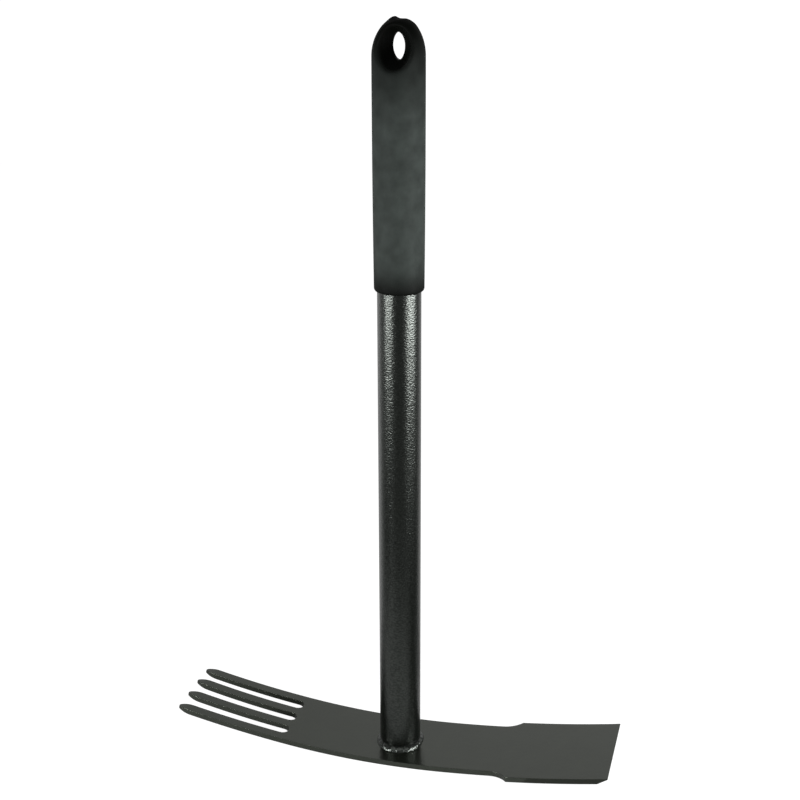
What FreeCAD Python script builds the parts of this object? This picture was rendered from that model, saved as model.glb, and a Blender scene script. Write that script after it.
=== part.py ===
# Short-handled hoe and cultivator: bent steel head, weld bead, tubular handle, rubber grip.
#
# Millimetres. Each piece is drawn about the handle's axis, with z = 0 where that axis meets
# the head's top face. +X runs along the head to the hoe blade, -X to the tines, and +Z up the
# handle. The pieces are then placed so that the tool stands on z = 0, centred on the origin.
import FreeCAD, Part

import math
import os

import Sketcher
from FreeCAD import Vector

DIMENSIONS = {
    # Head: one plate, cut to outline and bent in three arcs that meet without a kink.
    "plate_thickness": 3.4,
    "middle_bend_radius": 525.0,
    "tine_bend_radius": 700.0,
    "blade_bend_radius": 853.0,
    "tine_bend_start": 69.8,
    "blade_bend_start": 30.0,
    "tine_reach": 141.4,
    "blade_reach": 135.4,
    "neck_width": 52.0,
    "blade_width": 63.0,
    "shoulder_start": 62.0,
    "shoulder_radius": 15.0,
    "tine_count": 4,
    "tine_width": 6.6,
    "slot_root": 69.8,
    "tip_length": 9.0,
    "tip_nose_radius": 1.6,
    "bevel_length": 6.6,
    "edge_land": 0.5,
    # Handle: steel tube, coped to sit on the bent head.
    "tube_diameter": 25.4,
    "tube_wall": 1.5,
    "tube_length": 406.4,
    # Weld bead around the tube's foot.
    "weld_width": 2.3,
    "weld_height": 2.6,
    "weld_toe": 0.5,
    "weld_curve": 3.0,
    # Grip: moulded sleeve with a domed end and a scooped hang hole.
    "grip_start": 294.4,
    "grip_low_radius": 14.45,
    "grip_low_rounding": 1.4,
    "grip_side_bulge": 12000.0,
    "grip_shoulder_height": 424.0,
    "grip_shoulder_radius": 14.78,
    "grip_shoulder_curve": 32.0,
    "grip_top": 445.6,
    "scoop_height": 429.8,
    "scoop_half_width": 10.4,
    "scoop_half_height": 12.6,
    "scoop_depth": 13.0,
    "scoop_web": 1.5,
    "hang_hole_width": 7.4,
    "hang_hole_height": 15.2,
    # The handle's axis stands off the middle of the head, because the tines reach further.
    "handle_offset": 2.955,
}
START, END, CENTRE = 1, 2, 3
ORIGIN, VERTICAL_AXIS = (-1, 1), -2
CUT_MARGIN = 2.0

doc = FreeCAD.newDocument("hoe")


def make_sheet():
    sheet = doc.addObject("Spreadsheet::Sheet", "dims")
    for row, (alias, value) in enumerate(DIMENSIONS.items(), start=1):
        sheet.set(f"A{row}", alias)
        sheet.set(f"B{row}", str(value))
        sheet.setAlias(f"B{row}", alias)
    doc.recompute()
    return sheet


sheet = make_sheet()


def size(expression):
    """The value of an expression in the sheet's aliases, such as dims.neck_width / 2."""
    return float(sheet.evalExpression(expression))


def make_body(name):
    body = doc.addObject("PartDesign::Body", name)
    body.Label = name
    body.setExpression("Placement.Base.x", "dims.handle_offset")
    body.setExpression("Placement.Base.z", "dims.plate_thickness")
    return body


def origin_plane(body, role):
    return next(feature for feature in body.Origin.OriginFeatures if feature.Role == role)


def sketch_on(body, role, name):
    sketch = body.newObject("Sketcher::SketchObject", name)
    sketch.AttachmentSupport = [(origin_plane(body, role), "")]
    sketch.MapMode = "FlatFace"
    return sketch


def point(x, y):
    return Vector(x, y, 0)


def add_line(sketch, a, b, construction=False):
    return sketch.addGeometry(Part.LineSegment(point(*a), point(*b)), construction)


def add_arc(sketch, centre, a, b):
    """An arc about centre, anticlockwise from a to b."""
    radius = math.dist(centre, a)
    angles = [math.atan2(p[1] - centre[1], p[0] - centre[0]) for p in (a, b)]
    circle = Part.Circle(point(*centre), Vector(0, 0, 1), radius)
    return sketch.addGeometry(Part.ArcOfCircle(circle, *angles))


def constrain(sketch, kind, *references):
    return sketch.addConstraint(Sketcher.Constraint(kind, *references))


def drive(sketch, kind, *references, by):
    """Adds a dimension whose value is the expression by."""
    index = constrain(sketch, kind, *references, size(by))
    sketch.setExpression(f"Constraints[{index}]", by)


def join(sketch, *ends):
    """Makes each pair of (geometry, end) meet."""
    for first, second in ends:
        constrain(sketch, "Coincident", *first, *second)


def on_circle(centre, radius, x):
    """The lower point of a circle at x."""
    return x, centre[1] - math.sqrt(radius**2 - (x - centre[0]) ** 2)


def away_from(centre, at, distance):
    """The point that lies distance further from centre than at does."""
    scale = 1 + distance / math.dist(centre, at)
    return tuple(c + (p - c) * scale for c, p in zip(centre, at))


def beyond(centre, at, radius):
    """The centre of an arc of that radius that continues, at this point, an arc about centre."""
    return away_from(at, centre, radius - math.dist(centre, at))


def draw_bent_strip(body):
    """The head's side view: three arcs above, the same offset by the thickness below."""
    sketch = sketch_on(body, "XZ_Plane", "bent_strip")
    thickness = size("dims.plate_thickness")
    middle = (0.0, size("dims.middle_bend_radius"))
    bends = {}
    for side, way in (("tine", -1), ("blade", 1)):
        seam = on_circle(middle, middle[1], way * size(f"dims.{side}_bend_start"))
        radius = size(f"dims.{side}_bend_radius")
        centre = beyond(middle, seam, radius)
        tip = on_circle(centre, radius, way * size(f"dims.{side}_reach"))
        bends[side] = (seam, centre, tip)
    tine_seam, tine_centre, tine_tip = bends["tine"]
    blade_seam, blade_centre, blade_tip = bends["blade"]
    under = {at: away_from(c, at, thickness) for c, at in (
        (middle, tine_seam), (middle, blade_seam), (tine_centre, tine_tip))}
    land_end = away_from(blade_centre, blade_tip, size("dims.edge_land"))
    bevel_end = on_circle(
        blade_centre, size("dims.blade_bend_radius") + thickness,
        size("dims.blade_reach - dims.bevel_length"))

    top = add_arc(sketch, middle, tine_seam, blade_seam)
    tine_top = add_arc(sketch, tine_centre, tine_tip, tine_seam)
    blade_top = add_arc(sketch, blade_centre, blade_seam, blade_tip)
    bottom = add_arc(sketch, middle, under[tine_seam], under[blade_seam])
    tine_bottom = add_arc(sketch, tine_centre, under[tine_tip], under[tine_seam])
    blade_bottom = add_arc(sketch, blade_centre, under[blade_seam], bevel_end)
    tine_end = add_line(sketch, tine_tip, under[tine_tip])
    land = add_line(sketch, blade_tip, land_end)
    bevel = add_line(sketch, land_end, bevel_end)
    tine_normal = add_line(sketch, tine_centre, tine_seam, construction=True)
    blade_normal = add_line(sketch, blade_centre, blade_seam, construction=True)

    constrain(sketch, "PointOnObject", top, CENTRE, VERTICAL_AXIS)
    drive(sketch, "DistanceY", *ORIGIN, top, CENTRE, by="dims.middle_bend_radius")
    drive(sketch, "Radius", top, by="dims.middle_bend_radius")
    drive(sketch, "DistanceX", top, START, *ORIGIN, by="dims.tine_bend_start")
    drive(sketch, "DistanceX", *ORIGIN, top, END, by="dims.blade_bend_start")
    constrain(sketch, "Tangent", top, START, tine_top, END)
    constrain(sketch, "Tangent", top, END, blade_top, START)
    drive(sketch, "Radius", tine_top, by="dims.tine_bend_radius")
    drive(sketch, "Radius", blade_top, by="dims.blade_bend_radius")
    drive(sketch, "DistanceX", tine_top, START, *ORIGIN, by="dims.tine_reach")
    drive(sketch, "DistanceX", *ORIGIN, blade_top, END, by="dims.blade_reach")
    join(
        sketch,
        ((bottom, CENTRE), (top, CENTRE)),
        ((tine_bottom, CENTRE), (tine_top, CENTRE)),
        ((blade_bottom, CENTRE), (blade_top, CENTRE)),
        ((tine_normal, START), (tine_top, CENTRE)),
        ((tine_normal, END), (tine_top, END)),
        ((blade_normal, START), (blade_top, CENTRE)),
        ((blade_normal, END), (blade_top, START)),
        ((bottom, START), (tine_bottom, END)),
        ((bottom, END), (blade_bottom, START)),
        ((tine_end, START), (tine_top, START)),
        ((tine_end, END), (tine_bottom, START)),
        ((land, START), (blade_top, END)),
        ((land, END), (bevel, START)),
        ((bevel, END), (blade_bottom, END)),
    )
    drive(sketch, "Radius", bottom, by="dims.middle_bend_radius + dims.plate_thickness")
    constrain(sketch, "PointOnObject", bottom, START, tine_normal)
    constrain(sketch, "PointOnObject", bottom, END, blade_normal)
    constrain(sketch, "PointOnObject", tine_top, CENTRE, tine_end)
    constrain(sketch, "PointOnObject", blade_top, CENTRE, land)
    drive(sketch, "Distance", land, START, land, END, by="dims.edge_land")
    drive(sketch, "DistanceX", bevel, END, blade_top, END, by="dims.bevel_length")
    return sketch


def draw_neck_side(body):
    """What is cut from the strip beside the neck and tines, up to the blade's shoulder."""
    sketch = sketch_on(body, "XY_Plane", "neck_side")
    inner = size("dims.neck_width / 2")
    outer = size("dims.blade_width / 2")
    start = size("dims.shoulder_start")
    radius = size("dims.shoulder_radius")
    corner = (start + math.sqrt(radius**2 - (radius - outer + inner) ** 2), outer)
    far = -size("dims.tine_reach") - CUT_MARGIN
    edge = add_line(sketch, (far, inner), (start, inner))
    shoulder = add_arc(sketch, (start, inner + radius), (start, inner), corner)
    rise = add_line(sketch, corner, (corner[0], outer + CUT_MARGIN))
    side = add_line(sketch, (corner[0], outer + CUT_MARGIN), (far, outer + CUT_MARGIN))
    end = add_line(sketch, (far, outer + CUT_MARGIN), (far, inner))
    join(
        sketch,
        ((shoulder, END), (rise, START)),
        ((rise, END), (side, START)),
        ((side, END), (end, START)),
        ((end, END), (edge, START)),
    )
    constrain(sketch, "Tangent", edge, END, shoulder, START)
    constrain(sketch, "Horizontal", edge)
    constrain(sketch, "Horizontal", side)
    constrain(sketch, "Vertical", rise)
    constrain(sketch, "Vertical", end)
    drive(sketch, "DistanceY", *ORIGIN, edge, END, by="dims.neck_width / 2")
    drive(sketch, "DistanceX", *ORIGIN, edge, END, by="dims.shoulder_start")
    drive(sketch, "Radius", shoulder, by="dims.shoulder_radius")
    drive(sketch, "DistanceY", *ORIGIN, shoulder, END, by="dims.blade_width / 2")
    drive(sketch, "DistanceY", *ORIGIN, side, START, by=f"dims.blade_width / 2 + {CUT_MARGIN}")
    drive(sketch, "DistanceX", end, START, *ORIGIN, by=f"dims.tine_reach + {CUT_MARGIN}")
    return sketch


TINE_PITCH = "(dims.neck_width - dims.tine_width) / (dims.tine_count - 1)"
SLOT_WIDTH = f"({TINE_PITCH} - dims.tine_width)"
FIRST_TINE = "(dims.neck_width - dims.tine_width) / 2"
FIRST_SLOT = f"{FIRST_TINE} - {TINE_PITCH} / 2"


def draw_slot(body):
    """The first gap between tines: open past the tips, with a round root."""
    sketch = sketch_on(body, "XY_Plane", "slot")
    half = size(SLOT_WIDTH) / 2
    middle = -size(FIRST_SLOT)
    low, high = middle - half, middle + half
    bend_start = -size("dims.slot_root") - half
    far = -size("dims.tine_reach") - CUT_MARGIN
    near_side = add_line(sketch, (far, low), (bend_start, low))
    root = add_arc(sketch, (bend_start, middle), (bend_start, low), (bend_start, high))
    far_side = add_line(sketch, (bend_start, high), (far, high))
    mouth = add_line(sketch, (far, high), (far, low))
    join(sketch, ((far_side, END), (mouth, START)), ((mouth, END), (near_side, START)))
    constrain(sketch, "Tangent", near_side, END, root, START)
    constrain(sketch, "Tangent", root, END, far_side, START)
    constrain(sketch, "Horizontal", near_side)
    constrain(sketch, "Horizontal", far_side)
    constrain(sketch, "Vertical", mouth)
    drive(sketch, "Radius", root, by=f"{SLOT_WIDTH} / 2")
    drive(sketch, "DistanceY", root, CENTRE, *ORIGIN, by=FIRST_SLOT)
    drive(sketch, "DistanceX", root, CENTRE, *ORIGIN, by=f"dims.slot_root + {SLOT_WIDTH} / 2")
    drive(sketch, "DistanceX", mouth, START, *ORIGIN, by=f"dims.tine_reach + {CUT_MARGIN}")
    return sketch


def draw_tip(body):
    """What is cut away around the pointed tip of the first tine."""
    sketch = sketch_on(body, "XY_Plane", "tip")
    half = size("dims.tine_width / 2")
    nose = size("dims.tip_nose_radius")
    length = size("dims.tip_length")
    middle = -size(FIRST_TINE)
    apex = -size("dims.tine_reach")
    start, far = apex + length, apex - CUT_MARGIN
    flank_radius = ((length - nose) ** 2 / (half - nose) + nose + half) / 2
    nose_centre = (apex + nose, middle)
    outside = half + CUT_MARGIN
    flanks = []
    for side in (-1, 1):
        flank_centre = (start, middle + side * (half - flank_radius))
        touch = away_from(flank_centre, nose_centre, nose)
        flanks.append((flank_centre, touch, (start, middle + side * half)))
    (low_centre, low_touch, low_end), (high_centre, high_touch, high_end) = flanks
    low_flank = add_arc(sketch, low_centre, low_touch, low_end)
    high_flank = add_arc(sketch, high_centre, high_end, high_touch)
    round_nose = add_arc(sketch, nose_centre, high_touch, low_touch)
    low_step = add_line(sketch, low_end, (start, middle - outside))
    low_side = add_line(sketch, (start, middle - outside), (far, middle - outside))
    front = add_line(sketch, (far, middle - outside), (far, middle + outside))
    high_side = add_line(sketch, (far, middle + outside), (start, middle + outside))
    high_step = add_line(sketch, (start, middle + outside), high_end)
    join(
        sketch,
        ((low_flank, END), (low_step, START)),
        ((low_step, END), (low_side, START)),
        ((low_side, END), (front, START)),
        ((front, END), (high_side, START)),
        ((high_side, END), (high_step, START)),
        ((high_step, END), (high_flank, START)),
    )
    constrain(sketch, "Tangent", low_flank, START, round_nose, END)
    constrain(sketch, "Tangent", high_flank, END, round_nose, START)
    for line in (low_side, high_side):
        constrain(sketch, "Horizontal", line)
    for line in (low_step, front, high_step):
        constrain(sketch, "Vertical", line)
    drive(sketch, "DistanceY", round_nose, CENTRE, *ORIGIN, by=FIRST_TINE)
    drive(sketch, "DistanceX", round_nose, CENTRE, *ORIGIN,
          by="dims.tine_reach - dims.tip_nose_radius")
    drive(sketch, "Radius", round_nose, by="dims.tip_nose_radius")
    for flank, end in ((low_flank, END), (high_flank, START)):
        constrain(sketch, "Vertical", flank, CENTRE, flank, end)
        drive(sketch, "DistanceX", flank, end, *ORIGIN, by="dims.tine_reach - dims.tip_length")
    drive(sketch, "DistanceY", low_flank, END, high_flank, START, by="dims.tine_width")
    drive(sketch, "DistanceY", low_flank, END, *ORIGIN, by=f"{FIRST_TINE} + dims.tine_width / 2")
    drive(sketch, "DistanceY", low_step, END, low_step, START, by=str(CUT_MARGIN))
    drive(sketch, "DistanceY", high_step, END, high_step, START, by=str(CUT_MARGIN))
    drive(sketch, "DistanceX", front, START, *ORIGIN, by=f"dims.tine_reach + {CUT_MARGIN}")
    return sketch


def cut_through(body, sketch, name):
    """Cuts a sketch's outline through the body, both ways from the sketch's plane."""
    before = body.Shape.Volume
    pocket = body.newObject("PartDesign::Pocket", name)
    pocket.Profile = sketch
    pocket.Type = "ThroughAll"
    pocket.SideType = "Symmetric"
    doc.recompute()
    if pocket.Shape.Volume >= before:
        raise ValueError(f"{name} cuts nothing")
    return pocket


def row_across(body, feature, name, count, length):
    """Repeats a feature in a row along +Y."""
    row = body.newObject("PartDesign::LinearPattern", name)
    row.Originals = [feature]
    row.Direction = (origin_plane(body, "Y_Axis"), [""])
    row.setExpression("Length", length)
    row.setExpression("Occurrences", count)
    body.Tip = row
    doc.recompute()
    return row


def make_head():
    body = make_body("head_plate")
    strip = body.newObject("PartDesign::Pad", "strip")
    strip.Profile = draw_bent_strip(body)
    strip.SideType = "Symmetric"
    strip.setExpression("Length", "dims.blade_width")
    doc.recompute()
    neck_side = cut_through(body, draw_neck_side(body), "neck_side_cut")
    both_sides = body.newObject("PartDesign::Mirrored", "both_neck_sides")
    both_sides.Originals = [neck_side]
    both_sides.MirrorPlane = (origin_plane(body, "XZ_Plane"), [""])
    body.Tip = both_sides
    doc.recompute()
    slot = cut_through(body, draw_slot(body), "slot_cut")
    row_across(body, slot, "slots", "dims.tine_count - 1", f"{TINE_PITCH} * (dims.tine_count - 2)")
    tip = cut_through(body, draw_tip(body), "tip_cut")
    row_across(body, tip, "tips", "dims.tine_count", f"{TINE_PITCH} * (dims.tine_count - 1)")
    return body


def cope(body, name):
    """Cuts a piece's foot to the bend of the head's top face."""
    sketch = sketch_on(body, "XZ_Plane", f"{name}_outline")
    reach = size("dims.tube_diameter")
    middle = (0.0, size("dims.middle_bend_radius"))
    left, right = (on_circle(middle, middle[1], x) for x in (-reach, reach))
    face = add_arc(sketch, middle, left, right)
    right_side = add_line(sketch, right, (reach, -CUT_MARGIN))
    base = add_line(sketch, (reach, -CUT_MARGIN), (-reach, -CUT_MARGIN))
    left_side = add_line(sketch, (-reach, -CUT_MARGIN), left)
    join(
        sketch,
        ((face, END), (right_side, START)),
        ((right_side, END), (base, START)),
        ((base, END), (left_side, START)),
        ((left_side, END), (face, START)),
    )
    for line in (left_side, right_side):
        constrain(sketch, "Vertical", line)
    constrain(sketch, "Horizontal", base)
    constrain(sketch, "PointOnObject", face, CENTRE, VERTICAL_AXIS)
    drive(sketch, "Radius", face, by="dims.middle_bend_radius")
    drive(sketch, "DistanceY", *ORIGIN, face, CENTRE, by="dims.middle_bend_radius")
    drive(sketch, "DistanceX", *ORIGIN, base, START, by="dims.tube_diameter")
    drive(sketch, "DistanceX", base, END, *ORIGIN, by="dims.tube_diameter")
    drive(sketch, "DistanceY", base, START, *ORIGIN, by=str(CUT_MARGIN))
    return cut_through(body, sketch, name)


def draw_circle(sketch, by):
    """A circle about the handle's axis, whose radius is the expression by."""
    circle = sketch.addGeometry(Part.Circle(point(0, 0), Vector(0, 0, 1), size(by)))
    constrain(sketch, "Coincident", circle, CENTRE, *ORIGIN)
    drive(sketch, "Radius", circle, by=by)


def make_handle():
    body = make_body("handle_tube")
    sketch = sketch_on(body, "XY_Plane", "tube_section")
    draw_circle(sketch, "dims.tube_diameter / 2")
    draw_circle(sketch, "dims.tube_diameter / 2 - dims.tube_wall")
    tube = body.newObject("PartDesign::Pad", "tube")
    tube.Profile = sketch
    tube.SideType = "Two sides"
    tube.setExpression("Length", "dims.tube_length")
    tube.setExpression("Length2", str(CUT_MARGIN / 2))
    doc.recompute()
    cope(body, "foot_cope")
    return body


def spin(body, sketch, name):
    """Turns a sketch once about the handle's axis."""
    solid = body.newObject("PartDesign::Revolution", name)
    solid.Profile = sketch
    solid.ReferenceAxis = (sketch, ["V_Axis"])
    doc.recompute()
    return solid


def arc_centre(a, b, radius):
    """The centre of the arc of that radius that runs anticlockwise from a to b."""
    chord = math.dist(a, b)
    rise = math.sqrt(radius**2 - (chord / 2) ** 2) / chord
    return (a[0] + b[0]) / 2 - (b[1] - a[1]) * rise, (a[1] + b[1]) / 2 + (b[0] - a[0]) * rise


def make_weld():
    """A slightly convex bead, from its toe on the head up to the tube's side."""
    body = make_body("weld_bead")
    sketch = sketch_on(body, "XZ_Plane", "bead_section")
    inner = size("dims.tube_diameter / 2")
    outer = inner + size("dims.weld_width")
    foot = -CUT_MARGIN / 2
    toe, crest = (outer, size("dims.weld_toe")), (inner, size("dims.weld_height"))
    base = add_line(sketch, (inner, foot), (outer, foot))
    toe_side = add_line(sketch, (outer, foot), toe)
    face = add_arc(sketch, arc_centre(toe, crest, size("dims.weld_curve")), toe, crest)
    tube_side = add_line(sketch, crest, (inner, foot))
    join(
        sketch,
        ((base, END), (toe_side, START)),
        ((toe_side, END), (face, START)),
        ((face, END), (tube_side, START)),
        ((tube_side, END), (base, START)),
    )
    constrain(sketch, "Horizontal", base)
    constrain(sketch, "Vertical", toe_side)
    constrain(sketch, "Vertical", tube_side)
    drive(sketch, "DistanceX", *ORIGIN, base, START, by="dims.tube_diameter / 2")
    drive(sketch, "DistanceX", base, START, base, END, by="dims.weld_width")
    drive(sketch, "DistanceY", base, START, *ORIGIN, by=str(CUT_MARGIN / 2))
    drive(sketch, "DistanceY", *ORIGIN, toe_side, END, by="dims.weld_toe")
    drive(sketch, "DistanceY", *ORIGIN, face, END, by="dims.weld_height")
    drive(sketch, "Radius", face, by="dims.weld_curve")
    spin(body, sketch, "bead")
    cope(body, "bead_cope")
    return body


def draw_grip_section(body):
    """Half the grip's outline: barrel side, shoulder and crown, each arc running into the next."""
    sketch = sketch_on(body, "XZ_Plane", "grip_section")
    start = size("dims.grip_start")
    top = size("dims.grip_top")
    rounding = size("dims.grip_low_rounding")
    low_radius = size("dims.grip_low_radius")
    low_corner = (low_radius - rounding, start + rounding)
    side_start = (low_radius, start + rounding)
    side_end = (size("dims.grip_shoulder_radius"), size("dims.grip_shoulder_height"))
    side_centre = arc_centre(side_start, side_end, size("dims.grip_side_bulge"))
    bend = size("dims.grip_shoulder_curve")
    bend_centre = beyond(side_centre, side_end, bend)
    drop = bend_centre[1] - top
    crown_radius = (bend**2 - bend_centre[0] ** 2 - drop**2) / (2 * (drop + bend))
    crown_centre = (0.0, top - crown_radius)
    bend_end = away_from(bend_centre, crown_centre, crown_radius)

    base = add_line(sketch, (0, start), (low_corner[0], start))
    low_edge = add_arc(sketch, low_corner, (low_corner[0], start), side_start)
    side = add_arc(sketch, side_centre, side_start, side_end)
    shoulder = add_arc(sketch, bend_centre, side_end, bend_end)
    crown = add_arc(sketch, crown_centre, bend_end, (0, top))
    axis = add_line(sketch, (0, top), (0, start))
    join(
        sketch,
        ((low_edge, END), (side, START)),
        ((crown, END), (axis, START)),
        ((axis, END), (base, START)),
    )
    constrain(sketch, "Tangent", base, END, low_edge, START)
    constrain(sketch, "Tangent", side, END, shoulder, START)
    constrain(sketch, "Tangent", shoulder, END, crown, START)
    constrain(sketch, "Horizontal", base)
    constrain(sketch, "Horizontal", low_edge, CENTRE, low_edge, END)
    constrain(sketch, "PointOnObject", axis, START, VERTICAL_AXIS)
    constrain(sketch, "PointOnObject", axis, END, VERTICAL_AXIS)
    constrain(sketch, "PointOnObject", crown, CENTRE, VERTICAL_AXIS)
    drive(sketch, "DistanceY", *ORIGIN, base, START, by="dims.grip_start")
    drive(sketch, "DistanceX", *ORIGIN, side, START, by="dims.grip_low_radius")
    drive(sketch, "Radius", low_edge, by="dims.grip_low_rounding")
    drive(sketch, "Radius", side, by="dims.grip_side_bulge")
    drive(sketch, "DistanceX", *ORIGIN, side, END, by="dims.grip_shoulder_radius")
    drive(sketch, "DistanceY", *ORIGIN, side, END, by="dims.grip_shoulder_height")
    drive(sketch, "Radius", shoulder, by="dims.grip_shoulder_curve")
    drive(sketch, "DistanceY", *ORIGIN, axis, START, by="dims.grip_top")
    return sketch


def scoop(body, name, side):
    """Hollows the grip's end on one side, as an ellipsoid that stops short of the middle."""
    before = body.Shape.Volume
    hollow = body.newObject("PartDesign::SubtractiveEllipsoid", name)
    hollow.AttachmentSupport = [(origin_plane(body, "XY_Plane"), "")]
    hollow.MapMode = "FlatFace"
    hollow.setExpression("Radius1", "dims.scoop_half_height")
    hollow.setExpression("Radius2", "dims.scoop_half_width")
    hollow.setExpression("Radius3", "dims.scoop_depth")
    hollow.setExpression(
        "AttachmentOffset.Base.y", f"{side} * (dims.scoop_depth + dims.scoop_web / 2)")
    hollow.setExpression("AttachmentOffset.Base.z", "dims.scoop_height")
    doc.recompute()
    if hollow.Shape.Volume >= before:
        raise ValueError(f"{name} cuts nothing")


def draw_hang_hole(body):
    sketch = sketch_on(body, "XZ_Plane", "hang_hole_outline")
    height = size("dims.scoop_height")
    top = point(0, height + size("dims.hang_hole_height / 2"))
    flank = point(size("dims.hang_hole_width / 2"), height)
    oval = sketch.addGeometry(Part.Ellipse(top, flank, point(0, height)))
    sketch.exposeInternalGeometry(oval)
    long_axis, short_axis = oval + 1, oval + 2
    constrain(sketch, "PointOnObject", oval, CENTRE, VERTICAL_AXIS)
    constrain(sketch, "Vertical", long_axis)
    drive(sketch, "DistanceY", *ORIGIN, oval, CENTRE, by="dims.scoop_height")
    drive(sketch, "Distance", long_axis, START, long_axis, END, by="dims.hang_hole_height")
    drive(sketch, "Distance", short_axis, START, short_axis, END, by="dims.hang_hole_width")
    return sketch


def make_grip():
    body = make_body("grip")
    spin(body, draw_grip_section(body), "sleeve")
    bore = body.newObject("PartDesign::Pocket", "bore")
    bore_outline = sketch_on(body, "XY_Plane", "bore_outline")
    draw_circle(bore_outline, "dims.tube_diameter / 2")
    before = body.Shape.Volume
    bore.Profile = bore_outline
    bore.Reversed = True
    bore.setExpression("Length", "dims.tube_length")
    doc.recompute()
    if bore.Shape.Volume >= before:
        raise ValueError("the grip's bore cuts nothing")
    scoop(body, "front_scoop", -1)
    scoop(body, "back_scoop", 1)
    cut_through(body, draw_hang_hole(body), "hang_hole")
    return body


def check(pieces):
    """Stops on any failed object or broken solid, before a file is written."""
    doc.recompute()
    failed = [item.Name for item in doc.Objects if {"Invalid", "Error"} & set(item.State)]
    if failed:
        raise ValueError(f"failed objects: {failed}")
    for piece in pieces:
        if piece.Shape.isNull() or not piece.Shape.isValid() or len(piece.Shape.Solids) != 1:
            raise ValueError(f"{piece.Label} is not one valid solid")


def main():
    pieces = [make_head(), make_handle(), make_weld(), make_grip()]
    check(pieces)
    os.makedirs("parts", exist_ok=True)
    for piece in pieces:
        piece.Shape.exportStep(f"parts/{piece.Label}.step")
        box = piece.Shape.BoundBox
        print(f"{piece.Label}: {piece.Shape.Volume:.0f} mm3, "
              f"x {box.XMin:.2f} to {box.XMax:.2f}, y {box.YMin:.2f} to {box.YMax:.2f}, "
              f"z {box.ZMin:.2f} to {box.ZMax:.2f}")


main()
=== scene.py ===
"""Looks of the short-handled hoe and cultivator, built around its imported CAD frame."""

import math

import bmesh
import bpy
import numpy as np
from mathutils import Matrix, Vector, noise
from mathutils.geometry import delaunay_2d_cdt


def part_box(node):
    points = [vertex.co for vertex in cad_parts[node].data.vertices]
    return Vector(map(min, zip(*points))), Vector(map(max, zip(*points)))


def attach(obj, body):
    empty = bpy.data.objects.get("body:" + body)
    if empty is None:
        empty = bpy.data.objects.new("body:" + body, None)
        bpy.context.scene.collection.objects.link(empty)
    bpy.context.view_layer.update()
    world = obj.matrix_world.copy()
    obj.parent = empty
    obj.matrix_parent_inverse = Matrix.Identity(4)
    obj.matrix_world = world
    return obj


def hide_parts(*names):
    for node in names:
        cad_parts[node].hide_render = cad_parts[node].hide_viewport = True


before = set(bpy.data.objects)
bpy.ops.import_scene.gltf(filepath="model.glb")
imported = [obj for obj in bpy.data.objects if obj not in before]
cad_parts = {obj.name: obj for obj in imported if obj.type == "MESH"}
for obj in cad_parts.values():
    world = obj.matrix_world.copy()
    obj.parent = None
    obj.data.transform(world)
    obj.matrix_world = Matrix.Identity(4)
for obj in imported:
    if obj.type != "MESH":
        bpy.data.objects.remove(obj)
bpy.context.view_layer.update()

MM = 0.001

# Places read from the frame. Shapes below are drawn in metres about the handle's axis, with
# z = 0 on the head's top face there, as the CAD model is, and ORIGIN puts them in the frame.
HEAD_LOW, HEAD_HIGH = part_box("head_plate")
TUBE_LOW, TUBE_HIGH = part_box("handle_tube")
GRIP_LOW, GRIP_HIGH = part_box("grip")
TUBE_RADIUS = (TUBE_HIGH.x - TUBE_LOW.x) / 2
ORIGIN = Vector(((TUBE_LOW.x + TUBE_HIGH.x) / 2, 0, TUBE_LOW.z))
THICKNESS = TUBE_LOW.z - HEAD_LOW.z
TUBE_LENGTH = TUBE_HIGH.z - TUBE_LOW.z


# --- Geometry helpers -----------------------------------------------------------------------

def make_object(name, verts, faces, smooth=True):
    """A mesh object in the scene."""
    mesh = bpy.data.meshes.new(name)
    mesh.from_pydata([tuple(v) for v in verts], [], [tuple(f) for f in faces])
    mesh.validate()
    mesh.update()
    mesh.polygons.foreach_set("use_smooth", [smooth] * len(mesh.polygons))
    piece = bpy.data.objects.new(name, mesh)
    bpy.context.scene.collection.objects.link(piece)
    return piece


def stand_for(piece, node, material):
    """Puts a finished piece in place of the CAD node of the same part."""
    piece.data.transform(Matrix.Translation(ORIGIN))
    piece.data.materials.append(material)
    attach(piece, "root")
    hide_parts(node)


def closed_rings(rings):
    """Faces between successive rings of equal length, each ring closed on itself."""
    count = len(rings[0])
    return [
        (a[i], a[(i + 1) % count], b[(i + 1) % count], b[i])
        for a, b in zip(rings, rings[1:])
        for i in range(count)
    ]


# --- Head -----------------------------------------------------------------------------------

# The radii of the three arcs the plate is bent along, and where the outer two start.
MIDDLE_BEND, TINE_BEND, BLADE_BEND = 525 * MM, 700 * MM, 853 * MM
TINE_BEND_START, BLADE_BEND_START = -69.8 * MM, 30 * MM

# The plate in plan: neck, shoulders, blade and tines. TIP_NOSE is the radius of a tine's end.
NECK_HALF = 26 * MM
BLADE_HALF = HEAD_HIGH.y
BLADE_END = HEAD_HIGH.x - ORIGIN.x
TINE_END = HEAD_LOW.x - ORIGIN.x
SHOULDER_START, SHOULDER_RADIUS = 62 * MM, 15 * MM
TINE_COUNT, TINE_WIDTH = 4, 6.6 * MM
TINE_PITCH = (2 * NECK_HALF - TINE_WIDTH) / (TINE_COUNT - 1)
SLOT_ROOT = -69.8 * MM
TIP_LENGTH, TIP_NOSE = 9 * MM, 1.6 * MM

# Its thickness: the tines thin to a share of it at their tips, and the blade to a narrow land.
TIP_TAPER, TIP_THICKNESS = 7 * MM, 0.45
BEVEL_LENGTH, EDGE_LAND = 6.6 * MM, 0.5 * MM
EDGE_ROUND = 0.25 * MM

# Small irregularities: how far each tine has sprung, the back one first, and the blade's skew.
TINE_LIFT = (0, 0.6 * MM, 0.2 * MM, -0.4 * MM)
EDGE_SKEW = 0.45 * MM

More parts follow.
